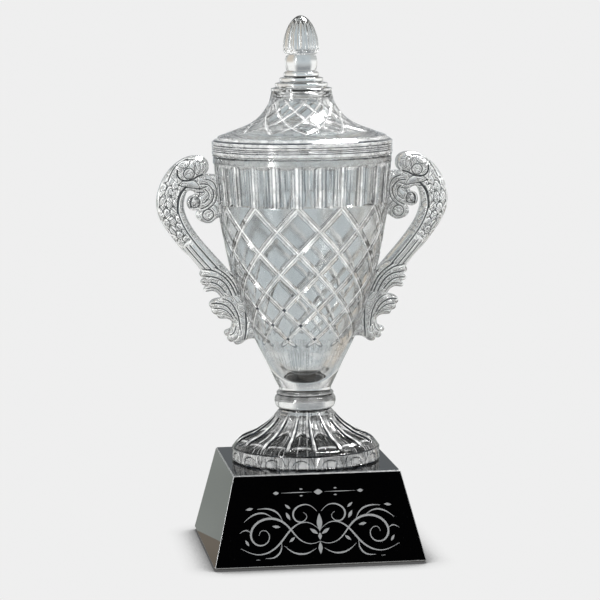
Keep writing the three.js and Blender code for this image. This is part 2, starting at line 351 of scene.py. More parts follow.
def rim_outline():
    """A fine groove and a bead at the very top: radius, height, and 1 in the groove, which is painted dark as
    shade.
    """
    return [(RIM_RADIUS - 0.4, LIP_LINE - 0.7, 0), (RIM_RADIUS - 1.1, LIP_LINE - 0.15, 1),
            (RIM_RADIUS - 1.1, LIP_LINE + 0.1, 1), (RIM_RADIUS, LIP_LINE + 0.6, 0),
            (RIM_RADIUS, CUP_RIM - 0.7, 0), (RIM_RADIUS - 0.25, CUP_RIM - 0.25, 0),
            (RIM_RADIUS - 0.8, CUP_RIM - 0.03, 0)]


def cup_stem(shell, profile):
    """Below the lattice: twelve shallow hollows that fade out both ways, and a plain stem."""
    plain = profile.plain(LATTICE_END / 2, profile.v[-1], 26)
    stem = [(19.2, 119.2), (19.1, CUP_LOW[2] + 0.3), (18.8, CUP_LOW[2])]
    rows = lathe_rows(np.vstack([plain, stem])[::-1], CUP_ANGLES)
    wave = 0.5 - 0.5 * np.cos(COLUMN_U * TAU)
    height = rows[..., 2]
    hollow = 0.7 * wave * smoothstep(128, 136, height) * (1 - smoothstep(154, plain[0][1], height))
    out = np.hypot(rows[..., 0], rows[..., 1])
    rows[..., :2] *= ((out - hollow) / out)[..., None]
    in_bowl = smoothstep(134, 147, height)
    # The dark streaks here are painted shade; the pale ones are satin.
    shell.grid(rows, satin=0.10 + 0.30 * in_bowl, streak=0.25 + 0.55 * in_bowl)
    shell.cap(rows[0], up=False)


def make_cup():
    shell = Shell()
    profile = Profile(CUP_SIDE, LATTICE_TOP, CUP_PITCH)
    depth = lambda v: 1.75 - 0.15 * v
    add_lattice(shell, profile, CUP_TURN, depth, 0, LATTICE_END, lambda v: 1 - smoothstep(3.5, 3.85, v))
    top_depth = depth(0.0) * groove_depth(COLUMN_U, COLUMN_U)
    top = on_ring(*profile.at(np.zeros_like(COLUMN_U), top_depth), CUP_ANGLES)
    flute_top = cup_flutes(shell, top)
    rim = np.array(rim_outline())
    # Painted shade in the rim's groove.
    in_line = np.concatenate([[0, 0], rim[:, 2]])
    shell.grid(np.stack([*flute_top, *lathe_rows(rim[:, :2], CUP_ANGLES)]), seam=in_line[:, None])
    cup_stem(shell, profile)
    mouth = [rim[-1, :2], (MOUTH_RADIUS + 0.9, CUP_RIM - 0.03), (MOUTH_RADIUS + 0.2, 292.8)]
    rows = lathe_rows(np.vstack([mouth, CUP_INSIDE]), CUP_ANGLES)
    shell.grid(rows[:3])
    shell.grid(rows[2:], kind=1)
    shell.cap(rows[-1], up=True, kind=1)
    return shell.build("cup_crystal")


# ---- Lid and finial ----

LID_SIDE = curve_through([
    (22.2, 338.2), (23.0, 334.5), (24.3, 330.5), (27.5, 325), (33, 319), (40, 314.6), (50, 310.6),
    (61.3, 306.6),
], 0.4)
LID_INSIDE = curve_through([
    (52.5, 288), (52.4, 296), (51, 302), (47, 305.6), (38, 309.6), (29.5, 315), (23.1, 321.7), (19.3, 328.1),
    (16.6, 334), (13, 338.6), (7.5, 341), (0, 341.6),
], 2.0)[:-1]
LID_LATTICE_TOP = 331.0
LID_LATTICE_END = 4
LID_LINES = ((300.5, 0.9), (298.7, 0.6), (297.5, 0.5), (296.1, 0.8))  # height and depth
LID_STEPS = ((22.4, 339.2, 341.2), (19.4, 342.4, 344.9), (16.0, 346.1, 348.7), (12.9, 349.9, 352.4))


def flange_outline():
    """Down the lid's rim and round its seating ring: radius, height, and 1 in the fine lines painted dark as
    shade.
    """
    side = RIM_RADIUS + 0.3
    outline = [(62.2, 305.7, 0), (65.0, 303.7, 1), (65.3, 303.2, 1), (side, 302.8, 0)]
    for z, deep in LID_LINES:
        outline += [(side, z + 0.55, 0), (side - deep, z + 0.12, 1)]
        outline += [(side - deep, z - 0.12, 1), (side, z - 0.55, 0)]
    outline += [(side, CUP_RIM + 0.8, 0), (side - 0.6, CUP_RIM + 0.05, 0), (57.6, CUP_RIM + 0.05, 0)]
    return outline + [(57.6, LID_LOW[2] + 0.8, 0), (56.8, LID_LOW[2], 0), (52.6, LID_LOW[2], 0)]


def lid_cap(shell, start):
    """The stepped cap that carries the finial; its columns lie half a diamond from the lattice's."""
    rings = [(22.2, 338.6)]
    for radius, low, high in LID_STEPS:
        rings += [(radius - 0.5, low - 0.5), (radius, low), (radius, high - 0.5), (radius - 0.5, high)]
    rings += [(11.6, 353.0), (11.4, LID_HIGH[2])]
    angles = LID_ANGLES + TAU / (2 * LATTICE_COLUMNS)
    rows = np.concatenate([on_ring(*start, angles)[None], lathe_rows(rings, angles)])
    shell.grid(rows)
    shell.cap(rows[-1], up=True)


def make_lid():
    shell = Shell()
    profile = Profile(LID_SIDE, LID_LATTICE_TOP, LID_PITCH)
    depth = lambda v: 0.65 + 0.2 * v
    add_lattice(shell, profile, LID_TURN, depth, -1, LID_LATTICE_END, lambda v: smoothstep(-0.28, 0.0, v))
    edge_v = LID_LATTICE_END / 2
    notch = depth(edge_v) * groove_depth(COLUMN_U + edge_v, COLUMN_U - edge_v)
    edge = on_ring(*profile.at(np.full_like(COLUMN_U, edge_v), notch), LID_ANGLES)
    outside = profile.plain(edge_v + 0.06, profile.v[-1], 6)
    flange = np.array(flange_outline())
    rows = lathe_rows(np.vstack([outside, flange[:, :2]]), LID_ANGLES)
    rows = np.concatenate([edge[None], rows])[::-1]
    on_flange = np.arange(len(rows)) < len(flange)
    # Painted shade: the fine lines on the flange are painted dark.
    in_line = np.zeros(len(rows))
    in_line[on_flange] = flange[::-1, 2]
    shell.grid(rows, satin=0.46 * on_flange[:, None], seam=in_line[:, None])
    inner = lathe_rows(np.vstack([flange[-1, :2], LID_INSIDE]), LID_ANGLES)[::-1]
    shell.grid(inner, kind=1)
    shell.cap(inner[0], up=False, kind=1)
    lid_cap(shell, profile.at(np.full_like(COLUMN_U, -0.5)))
    return shell.build("lid_crystal")


def make_finial():
    """A barrel neck and an acorn with hollow ribs that run out in arcs at its shoulder."""
    shell = Shell()
    per_rib = 10
    angles = math.radians(LID_TURN) + np.arange(FINIAL_RIBS * per_rib) * TAU / (FINIAL_RIBS * per_rib)
    share = (np.arange(len(angles)) % per_rib) / per_rib
    hollow = 1 - (2 * share - 1) ** 2
    bottom = FINIAL_LOW[2]
    neck = [(10.3, bottom), (10.9, bottom + 0.5), (11.5, 356.5), (11.9, 359), (11.8, 362), (11.2, 364),
            (10.2, 364.9), (10.0, 365.3)]
    shoulder = curve_through([(10.0, 365.3), (12.0, 366.6), (13.15, 369.0), (13.2, 372)], 0.6)
    body = curve_through([(13.2, 372), (12.8, 375.5), (11.8, 380), (10.1, 384.5), (7.9, 388.3), (5.2, 391.4),
                          (2.2, 393.4), (0, 394)], 0.6)
    rib_start = 367.6 + 2.4 * (2 * share - 1) ** 2
    rows = []
    for radius, height in np.vstack([neck, shoulder[1:], body[1:-1]]):
        cut = smoothstep(0, 1.2, height - rib_start) * (1 - smoothstep(386.5, 390.5, height))
        rows.append(on_ring(radius - RIB_DEPTH * radius * hollow * cut, height, angles))
    shell.closed_grid(np.stack(rows))
    return shell.build("finial_crystal", sharp_degrees=24)


# ---- Foot and collar ----

FOOT_HALF = np.array([0, 0.05, 0.07, 0.10, 0.13, 0.16, 0.19, 0.22, 0.26, 0.30, 0.35, 0.40, 0.45, 0.5])
FOOT_STEPS = np.concatenate([FOOT_HALF, 1 - FOOT_HALF[-2:0:-1]])
TO_EDGE = np.minimum(FOOT_STEPS, 1 - FOOT_STEPS)  # distance from the nearest ridge, as a share of a panel
NOTCH_HALF = FOOT_HALF[5]  # half width of a rim notch at the top of the band
BAND_LOW, BAND_HIGH = BLOCK_TOP + 1.4, 76.0
RIDGE_END, PANEL_START = FOOT_HALF[1], FOOT_HALF[3]
FOOT_SWEEP = curve_through([
    (53.6, 77.4), (52.0, 79.6), (49.0, 82.7), (44, 85.3), (38, 87.8), (33, 91), (28, 94.8), (23.5, 99.4),
    (20.6, 102.6),
], 1.1)
PANEL_DEPTH = 1.7


def foot_angles(steps):
    turns = np.concatenate([k + steps for k in range(FLUTES_IN_FOOT)])
    return math.radians(-90) + turns * TAU / FLUTES_IN_FOOT


def line_at(distance, half_width, strength=1.2):
    """1 on a line, fading to 0 beside it."""
    return np.clip(strength - np.abs(distance) / half_width, 0, 1)


def foot_band():
    """Rings of the rim band: notches that widen upward, and a shallow arch in each panel."""
    rings = []
    for rise in np.linspace(0, 1, 12)[1:]:
        edge = NOTCH_HALF * rise
        beyond = edge + (TO_EDGE - NOTCH_HALF) * (0.5 - edge) / (0.5 - NOTCH_HALF)
        moved = np.where(TO_EDGE <= NOTCH_HALF + 1e-9, TO_EDGE * rise, beyond)
        arch = np.hypot((0.5 - moved) / 0.33, rise / 0.80)
        notch = 2.0 * rise * np.clip(1 - moved / max(edge, 1e-6), 0, 1)
        cut = notch + 0.9 * (1 - smoothstep(0.86, 1.0, arch))
        angles = foot_angles(np.where(FOOT_STEPS <= 0.5, moved, 1 - moved))
        radius = FOOT_RADIUS - np.tile(cut, FLUTES_IN_FOOT)
        # Painted shade: dark lines along the edges of the notches and round each arch.
        seam = np.maximum(line_at(moved - edge, 0.03) * (rise > 0.2), line_at(arch - 0.95, 0.08, 1.5))
        satin = 0.30 + 0.15 * (arch < 0.86)
        rings.append((on_ring(radius, BAND_LOW + (BAND_HIGH - BAND_LOW) * rise, angles),
                      np.tile(satin, FLUTES_IN_FOOT), np.tile(seam, FLUTES_IN_FOOT)))
    return rings


def foot_panels(angles):
    """Rings of the sweep up to the collar: hollow panels between white ridges."""
    to_edge = np.tile(TO_EDGE, FLUTES_IN_FOOT)
    panel = smoothstep(RIDGE_END, PANEL_START, to_edge) * (0.75 + 0.6 * smoothstep(PANEL_START, 0.5, to_edge))
    on_ridge, beside_ridge, in_panel = to_edge < 0.06, (to_edge > 0.06) & (to_edge < 0.14), to_edge > 0.12
    rings = []
    up_sweep = np.linspace(0, 1, len(FOOT_SWEEP))
    for (radius, height), (dx, dz), s in zip(FOOT_SWEEP, unit_tangents(FOOT_SWEEP), up_sweep):
        shown = smoothstep(0.05, 0.16, s) * (1 - smoothstep(0.86, 0.97, s))
        cut = PANEL_DEPTH * panel * shown
        crown = s - 0.40 - 0.22 * np.sin(np.pi * to_edge)  # above 0 over the arch in each panel
        heel = s - 0.12 - 0.10 * np.sin(np.pi * to_edge)
        bright = 0.34 * smoothstep(0.0, 0.05, crown) + 0.58 * line_at(crown - 0.03, 0.03)
        bright = np.maximum(bright, 0.8 * line_at(heel, 0.03)) * in_panel
        # Painted shade: dark lines under each arch's crown and above its heel, and beside the ridges.
        dark = 0.9 * line_at(np.minimum(np.abs(crown + 0.03), np.abs(heel - 0.05)), 0.028, 1.3) * in_panel
        rings.append((on_ring(radius - dz * cut, height + dx * cut, angles),
                      np.maximum(on_ridge, bright) * shown, np.maximum(beside_ridge, dark) * shown))
    return rings


def make_foot():
    """Its rings are tuples of points, satin and painted shade, from the block up."""
    shell = Shell()
    angles = foot_angles(FOOT_STEPS)
    ring = lambda radius, height, seam: (on_ring(radius, height, angles), 0.0, seam)
    # The third value of a ring is painted shade: dark lines where the foot stands on the block and along the
    # band's edges.
    rings = [ring(FOOT_RADIUS - 1.3, BLOCK_TOP - 0.05, 1.0), ring(FOOT_RADIUS, BAND_LOW, 0.4)]
    rings += foot_band()
    rings += [ring(FOOT_RADIUS - 0.6, BAND_HIGH + 0.2, 1.0), ring(FOOT_RADIUS - 0.9, BAND_HIGH + 1.1, 1.0)]
    rings += foot_panels(angles)
    rings += [ring(19.8, 103.4, 0.0), ring(19.2, FOOT_HIGH[2], 0.0)]
    rows = np.stack([points for points, _, _ in rings])
    satin = np.stack([value + 0 * angles for _, value, _ in rings])
    seam = np.stack([value + 0 * angles for _, _, value in rings])
    # The dark streaks here are painted shade.
    shell.closed_grid(rows, seam=seam, satin=satin, streak=0.9)
    return shell.build("foot_crystal", sharp_degrees=22)


def make_collar():
    """A round knop with a bead on top and a dark line of painted shade at either end of its belly."""
    shell = Shell()
    belly = curve_through([(19.6, COLLAR_LOW[2] + 0.4), (21.4, 106.4), (22.5, 109.2), (22.6, 112),
                           (21.6, 114.3), (20.3, 115.1)], 0.6)
    bead = [(19.9, 115.3), (20.9, 115.7), (21.2, 116.3), (20.9, 117.0), (20.2, COLLAR_HIGH[2])]
    outline = np.vstack([(19.0, COLLAR_LOW[2]), belly, bead])
    rows = lathe_rows(outline, np.linspace(0, TAU, 160, endpoint=False))
    height = outline[:, 1]
    # Painted shade: a dark line under the bead and along the lower end of the belly.
    at_line = (np.abs(height - 115.3) < 0.3) | (height < 105)
    shell.closed_grid(rows, seam=at_line[:, None], satin=0.25)
    return shell.build("collar_crystal", sharp_degrees=30)


# ---- Block and its engraving ----

EDGE_BEVEL = 0.45
BLOCK_CHAMFER = 0.8
ENGRAVING_PROUD, ENGRAVING_SUNK = 0.05, 0.02
ENGRAVING_STEP = 0.2
PEN = 0.8  # weight of the strokes
FACE_LOW, FACE_HIGH = BLOCK_LOW[2] + BLOCK_CHAMFER, BLOCK_TOP - BLOCK_CHAMFER
BLOCK_SLOPE = math.atan2((BLOCK_BOTTOM_SIDE - BLOCK_TOP_SIDE) / 2, FACE_HIGH - FACE_LOW)

# Right half of the engraved ornament on the front face: points (across from the middle, up the slope) and the
# widest half width of each stroke. The left half is its mirror image.
ORNAMENT_STROKES = [
    # the vine: out from the middle in two waves, ending in a spiral
    ([(0, 17.0), (6, 15.4), (13, 17.4), (19, 23.4), (25, 30.4), (33, 34.2), (42, 33.2), (48.6, 27.6),
      (49.6, 20.6), (45.4, 15.8), (39.4, 16.4), (36.6, 21.0), (38.6, 25.4), (42.4, 25.6),
      (44.0, 22.6)], 1.0),
    # a second vine crosses it and runs out to a fine tip
    ([(0, 25.0), (7, 30.2), (15, 30.0), (22.4, 24.4), (28.6, 17.0), (36, 11.0), (46, 9.0),
      (57.4, 13.6)], 0.8),
    # spiral over the middle
    ([(1.6, 38.6), (7, 43.0), (14.4, 42.6), (18.8, 37.6), (16.8, 32.2), (11.6, 31.6), (9.0, 35.2),
      (11.4, 38.0)], 0.75),
    # tendrils
    ([(26.4, 31.6), (29.6, 37.6), (36.0, 41.2), (44.6, 41.4)], 0.75),
    ([(33, 34.2), (39.6, 38.2), (47.4, 37.4), (54.6, 32.4)], 0.7),
    ([(28.0, 17.6), (28.6, 11.6), (33.0, 6.8), (40.0, 6.0)], 0.7),
    ([(3, 12.0), (10.6, 8.4), (19.6, 9.6), (26.0, 14.6)], 0.75),
    ([(49.2, 24.0), (53.4, 26.6), (58.0, 24.6)], 0.5),
    # fine rule above
    ([(4.6, 52.4), (14, 52.4), (27.0, 52.4)], 0.34),
]
ORNAMENT_LEAVES = [  # middle, half length, half width, turn in degrees
    ((0, 30.4), 6.6, 2.0, 90), ((0, 12.2), 4.4, 1.5, 90), ((0, 20.6), 2.6, 1.3, 90),
    ((4.2, 24.2), 3.6, 1.2, 35), ((22.6, 35.6), 3.2, 1.15, 62), ((31.4, 28.4), 3.0, 1.0, 8),
    ((20.2, 18.8), 2.8, 1.0, -40), ((52.8, 17.4), 2.6, 0.9, 60), ((46.0, 4.6), 2.4, 0.8, -10),
    ((50.2, 41.6), 2.8, 0.95, -8), ((22.6, 42.4), 2.6, 0.9, 40),
    ((0, 52.4), 3.2, 1.9, 0), ((30.6, 52.4), 2.2, 1.2, 0), ((12.4, 54.8), 1.3, 0.5, 0),
    ((12.4, 50.0), 1.3, 0.5, 0),
]


def turned(middle, degrees, x, y):
    """Coordinates of x, y along and across a direction, from a middle."""
    angle = math.radians(degrees)
    x, y = x - middle[0], y - middle[1]
    return x * math.cos(angle) + y * math.sin(angle), y * math.cos(angle) - x * math.sin(angle)


def stroke_reach(points, widest, x, y):
    """Above 0 within a pen stroke that swells towards its middle."""
    line = curve_through(points, 0.5)
    away, along = distance_to(line, x, y)
    share = np.clip(along / np.hypot(*np.diff(line, axis=0).T).sum(), 0, 1)
    return PEN * widest * (0.22 + 0.78 * np.abs(np.sin(np.pi * share)) ** 1.5) - away


def leaf_reach(middle, half_length, half_width, turn, x, y):
    """Above 0 within a pointed leaf."""
    u, w = turned(middle, turn, x, y)
    return (half_width * (1 - np.clip(np.abs(u) / half_length, 0, 1.4) ** 1.6) - np.abs(w)) * 0.8


def make_engraving():
    """The ornament as a thin skin on the block's sloping front."""
    step = ENGRAVING_STEP
    x, y = np.meshgrid(np.arange(-60, 60 + step / 2, step), np.arange(5, 58, step), indexing="ij")
    reaches = [stroke_reach(*stroke, np.abs(x), y) for stroke in ORNAMENT_STROKES]
    reaches += [leaf_reach(*leaf, np.abs(x), y) for leaf in ORNAMENT_LEAVES]
    traced = Traced(x, y, np.maximum(-1.0, np.max(reaches, axis=0)) + 1e-5)
    across, up = traced.columns()
    slope_up = np.array([0, math.sin(BLOCK_SLOPE), math.cos(BLOCK_SLOPE)])
    outward = np.array([0, -math.cos(BLOCK_SLOPE), math.sin(BLOCK_SLOPE)])
    foot_of_face = np.array([0, -BLOCK_BOTTOM_SIDE / 2, FACE_LOW])
    flat = foot_of_face + across[:, None] * np.array([1.0, 0, 0]) + up[:, None] * slope_up
    outer, inner = flat + outward * ENGRAVING_PROUD, flat - outward * ENGRAVING_SUNK
    shell = Shell()
    shell.add(outer, traced.polygons)
    shell.add(inner, [ring[::-1] for ring in traced.polygons])
    for a, b in traced.borders:
        shell.add(np.array([outer[b], outer[a], inner[a], inner[b]]), [[0, 1, 2, 3]])
    return shell.build("engraved_ornament", sharp_degrees=30, weld=1e-3)


def make_block():
    """The CAD block with its corners bevelled too; the bevels and the chamfers that face upward get the
    second material, whose light ground grey is partly a painted highlight, and the downward chamfer stays
    black.
    """
    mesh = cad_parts["base_block"].data.copy()
    mesh.name = "block_glass"
    mesh.materials.clear()
    thing = link("block_glass", mesh)
    tool = bmesh.new()
    tool.from_mesh(mesh)
    bmesh.ops.remove_doubles(tool, verts=tool.verts, dist=1e-6)
    flat = [edge for edge in tool.edges if len(edge.link_faces) == 2 and edge.calc_face_angle() < 0.01]
    bmesh.ops.dissolve_edges(tool, edges=flat, use_verts=True)
    corners = [edge for edge in tool.edges if edge.calc_face_angle() > math.radians(55)]
    bmesh.ops.bevel(tool, geom=corners, offset=EDGE_BEVEL * MM, segments=2, affect="EDGES", profile=0.5,
                    material=1)
    # Only the chamfers that face upward get the lighter grey: a painted highlight along the upper edges.
    for face in tool.faces:
        if 0.3 < face.normal.z < 0.98:
            face.material_index = 1
    tool.to_mesh(mesh)
    tool.free()
    return thing


# ---- Handles: a relief on both faces of one outline ----

RELIEF_STEP = 0.32
HANDLE_HALF_DEPTH = 8.0
HANDLE_RIM = 2.6  # half thickness where a face turns into the edge
BOND_GAP = 0.1

# The right-hand handle in the X-Z plane, clockwise. Each stretch is a smooth curve from the end of the one
# before to the next notch or corner; the stretches inside the cup are trimmed off by its side.
ARM_INNER_SIDE = [(54.5, 207.4), (56.8, 209.8), (60.5, 214), (67, 221.4), (74.5, 230.2), (81, 239),
                  (85.6, 247.5), (87.9, 256), (87.3, 262), (84.6, 267.6), (80.6, 267.0)]
HANDLE_STRETCHES = [
    # bridge, curl and the outer sweep of the arm
    [(70, 279.6), (72.6, 279.3)],
    [(70.2, 281.6), (69.3, 285.2), (70.4, 289.6), (74, 292.5), (78.5, 293.3), (84, 292.6), (91, 289.3),
     (98, 283.3), (103.6, 275), (107, 265.5), (107.7, 258), (106.4, 250), (103, 242.6), (97.5, 234.4),
     (90, 224.8), (83, 217.6), (75.8, 208.6)],
    # upper leaf
    [(76.9, 206.8), (76.4, 204.6), (73.6, 203.2)],
    [(76.0, 201.4), (76.0, 199.2), (72.3, 197.4)],
    [(74.0, 195.6), (73.4, 193.4), (68.5, 193.6), (64, 191.6), (61.6, 188.3)],
    # middle leaf
    [(65.5, 187.8), (69.3, 185.8), (70.2, 182.6), (68.2, 180.4)],
    [(68.0, 177.4), (65.0, 176.0)],
    [(63.6, 173.4), (59.5, 173.0), (56, 172.2), (53.6, 170.2)],
    # lower leaf and the fin that ends on the cup
    [(54.5, 166), (57.0, 164.6), (59.3, 163.4), (58.8, 160.6), (56.4, 160.0)],
    [(57.2, 157.6), (55.0, 155.6), (52.8, 156.2)],
    [(51.6, 153.8), (48, 153.8), (45.4, 155.4), (42, 157.4), (37.5, 157.6)],
    [(30, 160)],
    [(46, 209)],
    [ARM_INNER_SIDE[0]],
    ARM_INNER_SIDE[1:],
    # small lobe, and the volute below it
    [(79.4, 265.2), (83.4, 263.2), (85.5, 259), (84.4, 255), (80.8, 253.2), (76.6, 254.4)],
    [(78.6, 251.6), (78.0, 247.2), (73.5, 244.2), (68, 244.0), (63.6, 247.2), (60, 247.6)],
    [(58, 262)],
    [(60, 279)],
    [(66, 279.2)],
]

# Grooves in both faces: points, half width, depth.
HANDLE_GROOVES = [
    # bridge: the lower edge of the curl, and long scroll lines that run down beside the cup
    ([(73.2, 279.4), (77.6, 278.4), (81, 276.4), (85, 275.2), (89.5, 275.8), (92.4, 279),
      (92.6, 283)], 1.2, 2.0),
    ([(92.4, 272.6), (87.5, 270.6), (81, 269.6), (75, 269.4), (71.6, 270.8)], 1.0, 1.5),
    ([(88, 268.2), (81, 266.6), (76, 266.2), (72.6, 266.8)], 0.9, 1.5),
    ([(86.6, 270.4), (90.0, 266.4), (92.4, 259.6), (92.8, 252)], 1.5, 2.4),
    ([(80.6, 290.4), (86, 290.6), (91.6, 287.6), (96.6, 281.6), (99.6, 275)], 0.9, 1.5),
    ([(76, 272.6), (71, 272.2), (67.2, 268.6), (66.3, 263.6), (68.4, 258.8), (73.4, 255),
      (77.5, 254)], 1.0, 1.5),
    ([(72, 276.2), (67, 274), (64.3, 268.6), (64.2, 262.6), (66.4, 257.6), (70.6, 254.2)], 0.9, 1.6),
    ([(72.4, 268.6), (69.8, 265.4), (70.2, 261.6), (73.6, 258.6)], 0.9, 1.5),
    # upper leaf
    ([(76.4, 204.6), (69, 204.6), (62.6, 202.4), (57.6, 197.4), (54.2, 190.6)], 1.1, 1.7),
    ([(75.4, 200.2), (68.6, 200.4), (62.8, 197.4), (58.8, 192.6)], 1.1, 1.7),
    ([(73.4, 195.2), (67.6, 196.2), (63, 193.6), (60.2, 190)], 1.0, 1.4),
    ([(77, 210), (69, 209.4), (61.4, 205.6), (55.6, 199.4), (51.4, 190.4)], 1.1, 1.6),
    ([(66, 211.4), (59, 206.4), (53.4, 199.6), (49.6, 191)], 1.1, 1.6),
    # middle leaf
    ([(70, 184), (63.2, 184.6), (57, 181.6), (52.6, 175.4)], 1.1, 1.7),
    ([(68.2, 180.4), (62, 180.8), (56.6, 177.6), (53.2, 172.6)], 1.0, 1.4),
    ([(65, 176), (60, 176.6), (55.4, 174.2)], 0.9, 1.2),
    ([(62, 188), (57, 186.6), (52.4, 181.4), (49.4, 173.6), (48.4, 165)], 1.1, 1.5),
    # lower leaf
    ([(56.4, 160.0), (53, 162.8), (51.2, 167.6)], 1.0, 1.4),
    ([(52.8, 156.2), (50.4, 160), (49.8, 165)], 0.9, 1.2),
    # the stem's edge against the thin fin on the cup
    ([(55.4, 206.8), (50.6, 200), (47.4, 191), (45.4, 182), (44.4, 173), (44.2, 164),
      (45.0, 157.4)], 1.1, 1.9),
]
# Rings: centre, half sizes, tilt in degrees, half width of the groove, depth.
HANDLE_RINGS = [
    ((84.2, 280.4), (3.9, 3.9), 0, 1.0, 1.5),
    ((77.9, 284.6), (2.0, 4.9), 4, 0.9, 1.4),
    ((88.0, 287.0), (4.9, 2.6), -24, 0.9, 1.4),
    ((79.9, 259.2), (3.7, 3.9), 0, 1.0, 1.4),
    ((70.4, 249.9), (4.0, 4.0), 0, 1.0, 1.5),
    ((70.4, 249.9), (1.5, 1.5), 0, 0.8, 0.9),
]
HANDLE_SPINE = curve_through([
    (78, 284), (90, 281), (97, 273), (99, 261), (97, 249), (90, 237), (80, 225), (70, 213), (60, 202),
    (53, 190), (49, 178), (46, 165), (44, 157),
], 1.5)
ARM_RIBS = (9.1, 12.0, 14.4)  # distances of the rib grooves from the arm's inner side
BEVEL_WIDTH = 5.0  # the smooth inner side of the arm, up to its crisp ridge
SCALE_LENGTH, SCALE_WIDTH = 4.6, 4.7
SCALES_START = 8.6  # from the arm's inner side to the middle of a column of scales
SHOULDER = 5.0  # distance inside the outline where the body reaches its full thickness
HUG_WIDTH = 5.0  # how far from the cup the handle follows its round side


def relief_grid(outline):
    low, high = outline.min(axis=0) - 1.5 * RELIEF_STEP, outline.max(axis=0) + 1.5 * RELIEF_STEP
    return np.meshgrid(*(np.arange(low[k], high[k], RELIEF_STEP) for k in range(2)), indexing="ij")


def distance_to(line, x, z):
    """Distance of each grid point from an open line, and how far along the line the nearest place is."""
    best = np.full(x.shape, 1e9)
    along = np.zeros(x.shape)
    travelled = 0.0
    for (ax, az), (bx, bz) in zip(line[:-1], line[1:]):
        length = math.hypot(bx - ax, bz - az)
        if length < 1e-9:
            continue
        ux, uz = (bx - ax) / length, (bz - az) / length
        t = np.clip((x - ax) * ux + (z - az) * uz, 0, length)
        away = np.hypot(x - ax - t * ux, z - az - t * uz)
        nearer = away < best
        best = np.where(nearer, away, best)
        along = np.where(nearer, travelled + t, along)
        travelled += length
    return best, along


def inside(polygon, x, z):
    crossings = np.zeros(x.shape, int)
    for (ax, az), (bx, bz) in zip(polygon, np.roll(polygon, -1, axis=0)):
        spans = (az > z) != (bz > z)
        if abs(bz - az) > 1e-12:
            crossings += spans & (x < ax + (z - az) / (bz - az) * (bx - ax))
    return crossings % 2 == 1


def cup_radius(z):
    side = np.vstack([CUP_SIDE[::-1], [(63.2, 260), (64.9, 283), (66, 286), (66, 293)]])
    return np.interp(z, side[:, 1], side[:, 0])


def groove(distance, half_width, depth):
    """A rounded valley."""
    return depth * (1 - smoothstep(0, half_width, distance))


def ring_groove(centre, half_sizes, tilt, half_width, depth, x, z):
    u, w = turned(centre, tilt, x, z)
    reach = np.hypot(u / half_sizes[0], w / half_sizes[1])
    away = np.abs(reach - 1) * np.hypot(u, w) / np.maximum(reach, 0.05)
    return groove(away, half_width, depth)


def overlapping_scales(along, across):
    """Leaf scales with rounded ends towards the curl, each lying on the next: 0 to 1."""
    height = np.zeros(along.shape)
    rows = int(along.max() / SCALE_LENGTH) + 2
    for row in range(rows, -2, -1):
        for column in range(-1, 5):
            middle = (column + 0.5 * (row % 2)) * SCALE_WIDTH
            reach = np.hypot((along - row * SCALE_LENGTH) / 5.4, (across - middle) / 2.75)
            height = np.where(reach < 1, 1 - np.clip(reach, 0, 1) ** 3, height * smoothstep(1.0, 1.3, reach))
    return height


def scroll_lines(x, z):
    """Curling lines all over a face: distance from the nearest contour of a rolling field."""
    field = np.sin(0.62 * x + 1.5 * np.sin(0.38 * z)) + np.sin(0.66 * z - 0.2 * x + 1.6 * np.sin(0.43 * x))
    slope = np.hypot(*np.gradient(field, RELIEF_STEP))
    return np.minimum(np.abs(field - 0.55), np.abs(field + 0.75)) / np.maximum(slope, 0.12)


def drawn_cuts(x, z):
    """Depth of the veins, scroll lines and rings."""
    cuts = [groove(distance_to(curve_through(points, 0.8), x, z)[0], half_width, depth)
            for points, half_width, depth in HANDLE_GROOVES]
    cuts += [ring_groove(*ring, x, z) for ring in HANDLE_RINGS]
    return np.max(cuts, axis=0)


def handle_height(x, z, edge):
    """Half thickness at each place, and how dark the material paints it as shade: how deep it lies in a cut,
    and the hollows between the scales; edge is the distance to the outline.
    """
    inner, along = distance_to(curve_through(ARM_INNER_SIDE[:-1], 0.8), x, z)
    from_spine, _ = distance_to(HANDLE_SPINE, x, z)
    full = HANDLE_HALF_DEPTH - 0.16 * np.clip(from_spine - 4, 0, 14)
    body = HANDLE_RIM + (full - HANDLE_RIM) * np.sin(np.clip(edge / SHOULDER, 0, 1) * math.pi / 2)
    # where the bevel's ridge, the ribs and the scales run
    beside_arm = smoothstep(206, 212, z) * (x > 54) * (1 - smoothstep(266, 270, z - 0.25 * (x - 88)))
    on_ribs = smoothstep(207, 211, z) * (1 - smoothstep(224, 229, z + 0.5 * (x - 90))) * (x > 62)
    under_scales = smoothstep(5.9, 6.8, inner) * smoothstep(226, 230, z + 0.5 * (x - 90)) * (x > 76)
    under_scales *= 1 - smoothstep(273, 279, z + 0.12 * (x - 100))
    cuts = np.maximum(drawn_cuts(x, z), beside_arm * groove(np.abs(inner - BEVEL_WIDTH), 1.1, 1.7))
    for offset in ARM_RIBS:
        cuts = np.maximum(cuts, on_ribs * groove(np.abs(inner - offset), 1.1, 1.5))
    scales = overlapping_scales(along, inner - SCALES_START)
    open_face = (1 - smoothstep(0.15, 0.5, cuts)) * smoothstep(1.2, 2.2, edge)
    on_bevel = beside_arm * (inner < BEVEL_WIDTH)
    scrolls = groove(scroll_lines(x, z), 0.62, 1.0) * open_face * (1 - on_bevel) * (1 - on_ribs)
    cuts = np.maximum(cuts, 0.7 * scrolls)
    # The second value is where the handle's material paints shade: in the cuts, more strongly in the scroll
    # lines, and between the scales.
    depth = np.clip(np.maximum(cuts / 1.2, 1.25 * scrolls), 0, 1)
    depth = np.maximum(depth, np.clip(1.0 - 1.7 * scales, 0, 1) * under_scales)
    shown = smoothstep(0.0, 1.4, edge)
    return body + (1.2 * (scales - 0.9) * under_scales - cuts) * shown, depth * shown


